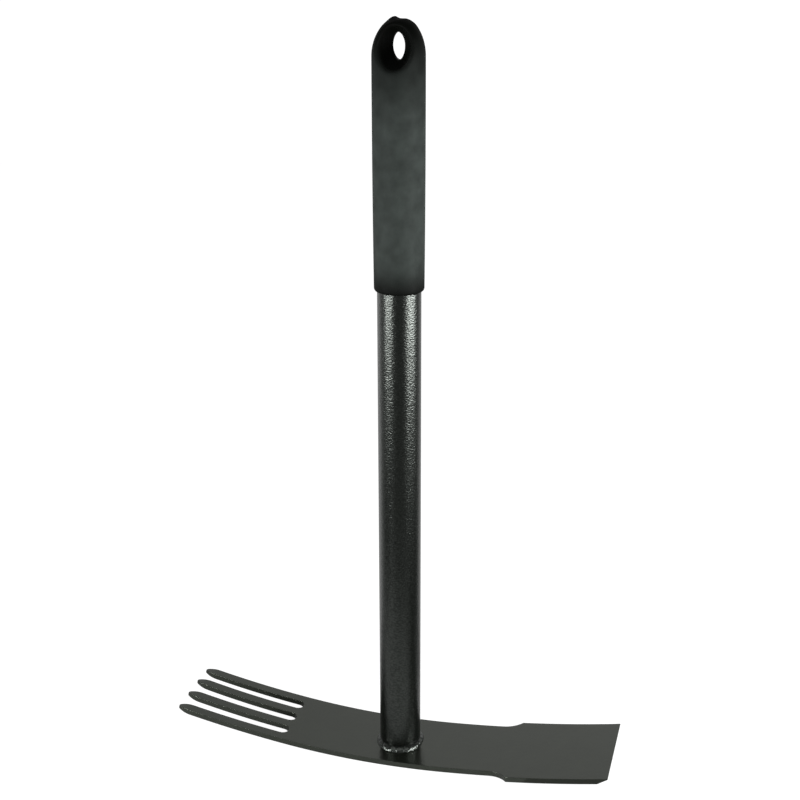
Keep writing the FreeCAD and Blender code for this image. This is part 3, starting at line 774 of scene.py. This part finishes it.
def direction(azimuth, elevation):
    """A unit vector, its azimuth measured from straight towards the camera, + to the right."""
    a, e = math.radians(CAMERA_AZIMUTH + azimuth), math.radians(elevation)
    return Vector((math.sin(a) * math.cos(e), -math.cos(a) * math.cos(e), math.sin(e)))


def make_world():
    """Bright behind the tool and overhead, dark in front, dim patches below and to the left."""
    world = bpy.data.worlds.new("studio_air")
    bpy.context.scene.world = world
    world.use_nodes = True
    tree = world.node_tree
    place = tree.nodes.new("ShaderNodeTexCoord")
    total = None
    for towards, start, end, level in WORLD_ZONES:
        dot = tree.nodes.new("ShaderNodeVectorMath")
        dot.operation = "DOT_PRODUCT"
        dot.inputs[1].default_value = direction(*towards)
        tree.links.new(place.outputs["Generated"], dot.inputs[0])
        zone = tree.nodes.new("ShaderNodeMapRange")
        zone.interpolation_type = "SMOOTHSTEP"
        zone.inputs["From Min"].default_value = start
        zone.inputs["From Max"].default_value = end
        zone.inputs["To Max"].default_value = level
        tree.links.new(dot.outputs["Value"], zone.inputs["Value"])
        if total is None:
            total = zone.outputs["Result"]
            continue
        add = tree.nodes.new("ShaderNodeMath")
        tree.links.new(total, add.inputs[0])
        tree.links.new(zone.outputs["Result"], add.inputs[1])
        total = add.outputs["Value"]
    tree.nodes["Background"].inputs["Color"].default_value = (1, 1, 1, 1)
    tree.links.new(total, tree.nodes["Background"].inputs["Strength"])


def make_room():
    """A pale floor that curves up into a pale wall all round."""
    profile = [(FLOOR_RADIUS + COVE_RADIUS * math.sin(t), COVE_RADIUS - COVE_RADIUS * math.cos(t))
               for t in np.linspace(0, math.pi / 2, COVE_STEPS + 1)]
    profile += [(FLOOR_RADIUS + COVE_RADIUS, WALL_TOP)]
    around = np.linspace(0, 2 * math.pi, ROOM_SIDES, endpoint=False)
    verts, rings = [(0, 0, 0)], []
    for radius, height in profile:
        rings.append([len(verts) + i for i in range(ROOM_SIDES)])
        verts += [(radius * math.cos(t), radius * math.sin(t), height) for t in around]
    rim = rings[0]
    faces = [(0, a, b) for a, b in zip(rim, rim[1:] + rim[:1])]
    room = make_object("paper_floor", verts, faces + closed_rings(rings))
    paper = new_material("floor_paper", (PAPER_ALBEDO,) * 3, PAPER_ROUGHNESS, specular=0)
    shader = paper.node_tree.nodes["Principled BSDF"]
    shader.inputs["Emission Color"].default_value = (1, 1, 1, 1)
    shader.inputs["Emission Strength"].default_value = PAPER_GLOW
    room.data.materials.append(paper)
    room.visible_glossy = False


def make_card(name, left, right, albedo):
    """A sheet of grey card under the tool, seen only in the tool's own reflections."""
    middle = Vector((ORIGIN.x, 0, CARD_GAP))
    corners = [direction(0, 0) * towards + direction(90, 0) * aside + middle
               for towards, aside in ((CARD_BEHIND, left), (CARD_FRONT, left),
                                      (CARD_FRONT, right), (CARD_BEHIND, right))]
    card = make_object(name, corners, [(0, 1, 2, 3)], smooth=False)
    paper = new_material(name, (albedo,) * 3, PAPER_ROUGHNESS, specular=0)
    card.data.materials.append(paper)
    card.visible_camera = False
    card.visible_diffuse = False
    card.visible_shadow = False


def make_softbox(name, azimuth, distance, width, height, radiance, bottom):
    """A wide soft light beside the camera that faces the handle."""
    data = bpy.data.lights.new(name, "AREA")
    data.shape = "RECTANGLE"
    data.size, data.size_y = width, height
    data.energy = radiance * math.pi * width * height
    light = bpy.data.objects.new(name, data)
    out = direction(azimuth, 0)
    across = Vector((0, 0, 1)).cross(out)
    light.matrix_world = Matrix.Translation(
        ORIGIN + out * distance + Vector((0, 0, bottom + height / 2))
    ) @ Matrix((across, Vector((0, 0, 1)), out)).transposed().to_4x4()
    light.visible_camera = False
    bpy.context.scene.collection.objects.link(light)


bpy.context.scene.view_settings.view_transform = "Standard"
make_camera()
make_world()
make_room()
for card in CARDS:
    make_card(*card)
for softbox in SOFTBOXES:
    make_softbox(*softbox)
make_head(satin_paint())
make_tube(hammered_paint("tube_hammered_paint", shine=0.4, pit_width=1.2 * MM,
                         pit_height=0.7 * MM, relief=0.15 * MM))
make_weld(hammered_paint("weld_hammered_paint", shine=0.5, pit_width=1.3 * MM,
                         pit_height=1.1 * MM, relief=0.32 * MM))
make_grip(moulded_rubber())
